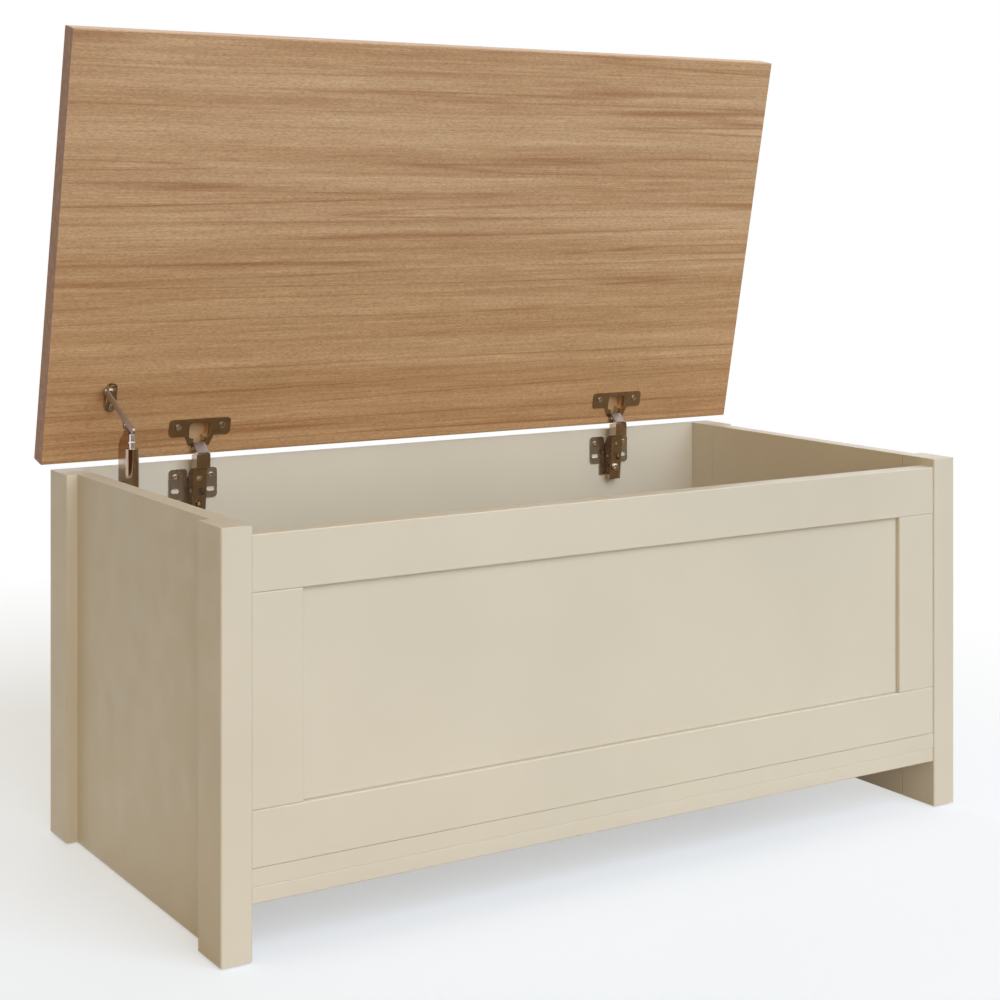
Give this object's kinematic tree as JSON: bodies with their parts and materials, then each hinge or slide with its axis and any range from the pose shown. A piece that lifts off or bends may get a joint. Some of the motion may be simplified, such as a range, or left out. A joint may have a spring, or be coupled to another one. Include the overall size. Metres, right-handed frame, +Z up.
{
  "type": "storage ottoman",
  "caption": "Blanket-box storage ottoman: painted panelled box on corner posts, with an overhanging wooden lid on concealed cup hinges and a damped lid stay.",
  "frame": {"origin": "middle of the bounding box at floor level, lid standing open", "axes": "+Z up, +X to the right as seen from the front, the front faces -Y"},
  "size_m": [0.85, 0.4164, 0.7897],
  "materials": {
    "post_front_left": "cream satin paint on wood",
    "post_front_right": "cream satin paint on wood",
    "post_rear_left": "cream satin paint on wood",
    "post_rear_right": "cream satin paint on wood",
    "side_panel_left": "cream satin paint on wood",
    "side_panel_right": "cream satin paint on wood",
    "back_panel": "cream satin paint on wood",
    "base_panel": "cream satin paint on wood",
    "front_top_rail": "cream satin paint on wood",
    "front_bottom_rail": "cream satin paint on wood",
    "apron_strip": "cream satin paint on wood",
    "stile_left": "cream satin paint on wood",
    "stile_right": "cream satin paint on wood",
    "front_panel": "cream satin paint on wood",
    "batten_left": "bare softwood",
    "batten_right": "bare softwood",
    "frame_dowels": "bare softwood",
    "lid_board": "matt clear-coated board, grain along its length",
    "floor_glides": "matt",
    "hinge_cup_left": "nickel plated",
    "hinge_cup_right": "nickel plated",
    "cup_screws_left": "nickel plated",
    "cup_screws_right": "nickel plated",
    "outer_link_left": "nickel plated",
    "outer_link_right": "nickel plated",
    "inner_link_left": "nickel plated",
    "inner_link_right": "nickel plated",
    "hinge_arm_left": "nickel plated",
    "hinge_arm_right": "nickel plated",
    "arm_pins_left": "nickel plated",
    "arm_pins_right": "nickel plated",
    "mounting_plate_left": "nickel plated",
    "mounting_plate_right": "nickel plated",
    "arm_screws_left": "nickel plated",
    "arm_screws_right": "nickel plated",
    "plate_screws_left": "nickel plated",
    "plate_screws_right": "nickel plated",
    "stay_wall_bracket": "nickel plated",
    "stay_wall_screws": "nickel plated",
    "stay_arm": "nickel plated",
    "stay_damper_tube": "nickel plated",
    "stay_plunger": "nickel plated",
    "stay_strap": "nickel plated",
    "stay_lid_bracket": "nickel plated",
    "stay_lid_screws": "nickel plated"
  },
  "bodies": {
    "box": {"post_front_left": "post_front_left", "post_front_right": "post_front_right", "post_rear_left": "post_rear_left", "post_rear_right": "post_rear_right", "side_panel_left": "side_panel_left", "side_panel_right": "side_panel_right", "back_panel": "back_panel", "base_panel": "base_panel", "batten_left": "batten_left", "batten_right": "batten_right", "front_top_rail": "front_top_rail", "front_bottom_rail": "front_bottom_rail", "apron_strip": "apron_strip", "stile_left": "stile_left", "stile_right": "stile_right", "front_panel": "front_panel", "floor_glides": "floor_glides", "frame_dowels": "frame_dowels", "hinge_arm_left": "hinge_arm_left", "hinge_arm_right": "hinge_arm_right", "arm_pins_left": "arm_pins_left", "arm_pins_right": "arm_pins_right", "mounting_plate_left": "mounting_plate_left", "mounting_plate_right": "mounting_plate_right", "arm_screws_left": "arm_screws_left", "arm_screws_right": "arm_screws_right", "plate_screws_left": "plate_screws_left", "plate_screws_right": "plate_screws_right", "stay_wall_bracket": "stay_wall_bracket", "stay_wall_screws": "stay_wall_screws"},
    "outer_link_left": {"outer_link_left": "outer_link_left"},
    "outer_link_right": {"outer_link_right": "outer_link_right"},
    "inner_link_left": {"inner_link_left": "inner_link_left"},
    "inner_link_right": {"inner_link_right": "inner_link_right"},
    "lid": {"lid_board": "lid_board", "hinge_cup_left": "hinge_cup_left", "hinge_cup_right": "hinge_cup_right", "cup_screws_left": "cup_screws_left", "cup_screws_right": "cup_screws_right", "stay_lid_bracket": "stay_lid_bracket", "stay_lid_screws": "stay_lid_screws"},
    "stay_arm": {"stay_arm": "stay_arm", "stay_damper_tube": "stay_damper_tube"},
    "stay_plunger": {"stay_plunger": "stay_plunger"},
    "stay_strap": {"stay_strap": "stay_strap"}
  },
  "joints": [
    {"name": "outer_link_left_pivot", "type": "hinge", "parent": "box", "child": "outer_link_left", "pos_m": [-0.261, 0.17483, 0.366], "axis": [-1, 0, 0], "range_deg": [0, 53.05]},
    {"name": "lid_hinge", "type": "hinge", "parent": "outer_link_left", "child": "lid", "pos_m": [-0.261, 0.1879, 0.37623], "axis": [-1, 0, 0], "range_deg": [-131.04, 0]},
    {"name": "outer_link_right_pivot", "type": "hinge", "parent": "box", "child": "outer_link_right", "pos_m": [0.261, 0.17483, 0.366], "axis": [-1, 0, 0], "range_deg": [0, 53.05]},
    {"name": "inner_link_left_pivot", "type": "hinge", "parent": "box", "child": "inner_link_left", "pos_m": [-0.261, 0.18183, 0.363], "axis": [-1, 0, 0], "range_deg": [0, 42.12]},
    {"name": "inner_link_right_pivot", "type": "hinge", "parent": "box", "child": "inner_link_right", "pos_m": [0.261, 0.18183, 0.363], "axis": [-1, 0, 0], "range_deg": [0, 42.12]},
    {"name": "stay_arm_pivot", "type": "hinge", "parent": "box", "child": "stay_arm", "pos_m": [-0.366, 0.13723, 0.3442], "axis": [-1, 0, 0], "range_deg": [-74.36, 0]},
    {"name": "stay_strap_pivot", "type": "hinge", "parent": "stay_arm", "child": "stay_strap", "pos_m": [-0.366, 0.11263, 0.407], "axis": [-1, 0, 0], "range_deg": [0, 91.77]},
    {"name": "stay_plunger_slide", "type": "slide", "parent": "stay_arm", "child": "stay_plunger", "axis": [0, 0, 1], "range_m": [0, 0.0061]}
  ],
  "couplings": [
    {"joint": "outer_link_left_pivot", "follows": "lid_hinge", "ratio": -0.40476},
    {"joint": "outer_link_right_pivot", "follows": "lid_hinge", "ratio": -0.40476},
    {"joint": "inner_link_left_pivot", "follows": "lid_hinge", "ratio": -0.32143},
    {"joint": "inner_link_right_pivot", "follows": "lid_hinge", "ratio": -0.32143},
    {"joint": "stay_arm_pivot", "follows": "lid_hinge", "ratio": 0.56744},
    {"joint": "stay_strap_pivot", "follows": "lid_hinge", "ratio": -0.7003},
    {"joint": "stay_plunger_slide", "follows": "lid_hinge", "m_per_rad": -0.0026234}
  ]
}
